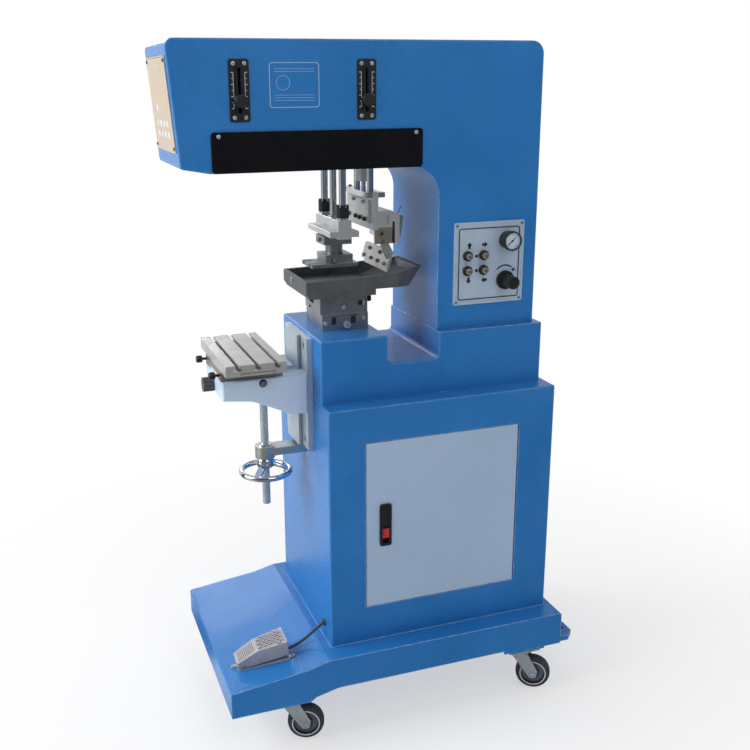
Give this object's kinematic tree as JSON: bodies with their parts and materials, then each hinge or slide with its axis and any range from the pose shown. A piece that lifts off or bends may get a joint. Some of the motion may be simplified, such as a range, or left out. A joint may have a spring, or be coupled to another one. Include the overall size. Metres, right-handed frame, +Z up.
{
  "type": "pad printing machine",
  "caption": "Free-standing pad printing machine on castors with a lift table, ink tray stage, sliding print head and foot switch.",
  "frame": {"origin": "on the floor under the middle of the machine", "axes": "+X towards the door and control side, -Y towards the operator, +Z up"},
  "size_m": [0.4938, 0.8904, 1.5015],
  "materials": {
    "blue_paint": "textured enamel",
    "light_paint": "satin enamel",
    "panel_film": "satin printed film",
    "black_gloss": "polished acrylic",
    "black_plastic": "moulded",
    "grey_plastic": "moulded",
    "red_plastic": "moulded",
    "needle_black": "painted",
    "brushed_plate": "brushed",
    "nickel": "plated",
    "zinc": "zinc plated",
    "ground_steel": "ground",
    "chrome": "polished",
    "machined_aluminium": "machined",
    "cast_aluminium": "cast",
    "pedal_metal": "stove enamel",
    "black_rubber": "moulded"
  },
  "bodies": {
    "frame": {"base_frame": "blue_paint", "cabinet_shell": "blue_paint", "mid_housing": "blue_paint", "head_housing": "blue_paint", "head_front_panel": "panel_film", "sign_plate": "black_gloss", "slot_plates": "black_plastic", "control_panel": "brushed_plate", "valve_bodies": "nickel", "gauge_case": "black_plastic", "door_hinges": "zinc", "guide_plate": "ground_steel", "lift_lug": "ground_steel", "stage_base": "ground_steel", "carriage_rails": "ground_steel", "caster_plates": "zinc", "pedal_base": "pedal_metal", "pedal_cable": "black_rubber", "cable_grommet": "black_rubber", "valve_manifold": "machined_aluminium"},
    "stroke_stop_front": {"stroke_knob_front": "black_plastic"},
    "stroke_stop_rear": {"stroke_knob_rear": "black_plastic"},
    "flow_valve_1": {"flow_knob_1": "nickel"},
    "flow_valve_2": {"flow_knob_2": "nickel"},
    "flow_valve_3": {"flow_knob_3": "nickel"},
    "flow_valve_4": {"flow_knob_4": "nickel"},
    "needle": {"gauge_needle": "needle_black"},
    "regulator": {"regulator_knob": "black_plastic"},
    "door_leaf": {"door": "light_paint", "latch_case": "black_plastic"},
    "lever": {"latch_lever": "black_plastic"},
    "button": {"latch_button": "red_plastic"},
    "handwheel": {"handwheel": "chrome"},
    "lift": {"lift_screw": "zinc", "table_bracket": "light_paint"},
    "saddle": {"cross_slide": "ground_steel", "t_slot_table": "ground_steel"},
    "feed_knob": {"cross_feed_knob": "grey_plastic"},
    "clamp_left": {"clamp_knob_left": "black_plastic"},
    "clamp_right": {"clamp_knob_right": "black_plastic"},
    "stage": {"stage_slide": "ground_steel", "ink_tray": "cast_aluminium", "cliche_plate": "ground_steel"},
    "stage_screw": {"stage_knob": "black_plastic"},
    "carriage": {"carriage": "machined_aluminium"},
    "pad_head": {"pad_rods": "chrome", "pad_beam": "machined_aluminium", "pad_mount": "machined_aluminium"},
    "squeegee": {"squeegee_rods": "chrome", "squeegee_bracket": "machined_aluminium"},
    "blade": {"blade_holder": "ground_steel"},
    "treadle": {"pedal_treadle": "pedal_metal"},
    "fork_1": {"caster_fork_1": "zinc"},
    "wheel_1": {"caster_wheel_1": "black_rubber"},
    "fork_2": {"caster_fork_2": "zinc"},
    "wheel_2": {"caster_wheel_2": "black_rubber"},
    "fork_3": {"caster_fork_3": "zinc"},
    "wheel_3": {"caster_wheel_3": "black_rubber"},
    "fork_4": {"caster_fork_4": "zinc"},
    "wheel_4": {"caster_wheel_4": "black_rubber"}
  },
  "joints": [
    {"name": "carriage_travel", "type": "slide", "parent": "frame", "child": "carriage", "axis": [0, 1, 0], "range_m": [-0.225, 0]},
    {"name": "pad_stroke", "type": "slide", "parent": "carriage", "child": "pad_head", "axis": [0, 0, 1], "range_m": [-0.03, 0]},
    {"name": "squeegee_stroke", "type": "slide", "parent": "carriage", "child": "squeegee", "axis": [0, 0, 1], "range_m": [-0.018, 0]},
    {"name": "blade_tilt", "type": "hinge", "parent": "squeegee", "child": "blade", "pos_m": [0, 0.00623, 1.103], "axis": [1, 0, 0], "range_deg": [-8, 8]},
    {"name": "handwheel_turn", "type": "hinge", "parent": "frame", "child": "handwheel", "pos_m": [0, -0.24797, 0.567], "axis": [0, 0, 1], "range_deg": [-5045, 5765]},
    {"name": "table_lift", "type": "slide", "parent": "frame", "child": "lift", "axis": [0, 0, 1], "range_m": [-0.08, 0.07]},
    {"name": "table_cross", "type": "slide", "parent": "lift", "child": "saddle", "axis": [0, 1, 0], "range_m": [-0.02, 0.02]},
    {"name": "feed_turn", "type": "hinge", "parent": "lift", "child": "feed_knob", "pos_m": [-0.01, -0.35677, 0.784], "axis": [0, -1, 0], "range_deg": [-3605, 3605]},
    {"name": "clamp_left_turn", "type": "hinge", "parent": "saddle", "child": "clamp_left", "pos_m": [-0.07, -0.35777, 0.826], "axis": [0, -1, 0], "range_deg": [0, 540]},
    {"name": "clamp_right_turn", "type": "hinge", "parent": "saddle", "child": "clamp_right", "pos_m": [0.07, -0.35777, 0.826], "axis": [0, -1, 0], "range_deg": [0, 540]},
    {"name": "stage_shift", "type": "slide", "parent": "frame", "child": "stage", "axis": [0, 1, 0], "range_m": [-0.005, 0.005]},
    {"name": "stage_screw_turn", "type": "hinge", "parent": "stage", "child": "stage_screw", "pos_m": [0.02, -0.01877, 0.955], "axis": [0, 1, 0], "range_deg": [-1805, 1805]},
    {"name": "door_hinge", "type": "hinge", "parent": "frame", "child": "door_leaf", "pos_m": [0.183, 0.28823, 0.47925], "axis": [0, 0, 1], "range_deg": [0, 100]},
    {"name": "latch_lever_swing", "type": "hinge", "parent": "door_leaf", "child": "lever", "pos_m": [0.1878, -0.02762, 0.5169], "axis": [0, -1, 0], "range_deg": [0, 35], "stiffness_Nm_per_rad": 0.05},
    {"name": "latch_button_press", "type": "slide", "parent": "door_leaf", "child": "button", "axis": [1, 0, 0], "range_m": [-0.003, 0], "stiffness_N_per_m": 400},
    {"name": "stroke_stop_front_slide", "type": "slide", "parent": "frame", "child": "stroke_stop_front", "axis": [0, 0, 1], "range_m": [-0.019, 0.058]},
    {"name": "stroke_stop_rear_slide", "type": "slide", "parent": "frame", "child": "stroke_stop_rear", "axis": [0, 0, 1], "range_m": [-0.019, 0.058]},
    {"name": "flow_knob_1_turn", "type": "hinge", "parent": "frame", "child": "flow_valve_1", "pos_m": [0.1298, 0.18423, 1.0555], "axis": [1, 0, 0], "range_deg": [-1080, 1080]},
    {"name": "flow_knob_2_turn", "type": "hinge", "parent": "frame", "child": "flow_valve_2", "pos_m": [0.1298, 0.22273, 1.0555], "axis": [1, 0, 0], "range_deg": [-1080, 1080]},
    {"name": "flow_knob_3_turn", "type": "hinge", "parent": "frame", "child": "flow_valve_3", "pos_m": [0.1298, 0.18423, 1.023], "axis": [1, 0, 0], "range_deg": [-1080, 1080]},
    {"name": "flow_knob_4_turn", "type": "hinge", "parent": "frame", "child": "flow_valve_4", "pos_m": [0.1298, 0.22273, 1.023], "axis": [1, 0, 0], "range_deg": [-1080, 1080]},
    {"name": "regulator_turn", "type": "hinge", "parent": "frame", "child": "regulator", "pos_m": [0.1298, 0.27723, 0.997], "axis": [1, 0, 0], "range_deg": [-1080, 1080]},
    {"name": "needle_turn", "type": "hinge", "parent": "frame", "child": "needle", "pos_m": [0.1548, 0.28023, 1.086], "axis": [1, 0, 0], "range_deg": [-270, 0], "stiffness_Nm_per_rad": 0.0005},
    {"name": "caster_1_swivel", "type": "hinge", "parent": "frame", "child": "fork_1", "pos_m": [0.2, -0.25777, 0.09], "axis": [0, 0, 1], "continuous": true},
    {"name": "caster_1_roll", "type": "hinge", "parent": "fork_1", "child": "wheel_1", "pos_m": [0.2102, -0.22639, 0.041], "axis": [0.9511, -0.309, 0], "continuous": true},
    {"name": "caster_2_swivel", "type": "hinge", "parent": "frame", "child": "fork_2", "pos_m": [-0.2, -0.25777, 0.09], "axis": [0, 0, 1], "continuous": true},
    {"name": "caster_2_roll", "type": "hinge", "parent": "fork_2", "child": "wheel_2", "pos_m": [-0.2102, -0.22639, 0.041], "axis": [0.9511, 0.309, 0], "continuous": true},
    {"name": "caster_3_swivel", "type": "hinge", "parent": "frame", "child": "fork_3", "pos_m": [0.2, 0.31923, 0.09], "axis": [0, 0, 1], "continuous": true},
    {"name": "caster_3_roll", "type": "hinge", "parent": "fork_3", "child": "wheel_3", "pos_m": [0.2165, 0.34781, 0.041], "axis": [0.866, -0.5, 0], "continuous": true},
    {"name": "caster_4_swivel", "type": "hinge", "parent": "frame", "child": "fork_4", "pos_m": [-0.2, 0.31923, 0.09], "axis": [0, 0, 1], "continuous": true},
    {"name": "caster_4_roll", "type": "hinge", "parent": "fork_4", "child": "wheel_4", "pos_m": [-0.2165, 0.34781, 0.041], "axis": [0.866, 0.5, 0], "continuous": true},
    {"name": "treadle_press", "type": "hinge", "parent": "frame", "child": "treadle", "pos_m": [0.14404, -0.35226, 0.18102], "axis": [0.9993, -0.0381, -0.0048], "range_deg": [-4, 0], "stiffness_Nm_per_rad": 3, "springref_deg": 11.46}
  ],
  "couplings": [
    {"joint": "handwheel_turn", "follows": "table_lift", "rad_per_m": -1256.6},
    {"joint": "feed_turn", "follows": "table_cross", "rad_per_m": 3141.6},
    {"joint": "stage_screw_turn", "follows": "stage_shift", "rad_per_m": 6283.2}
  ]
}
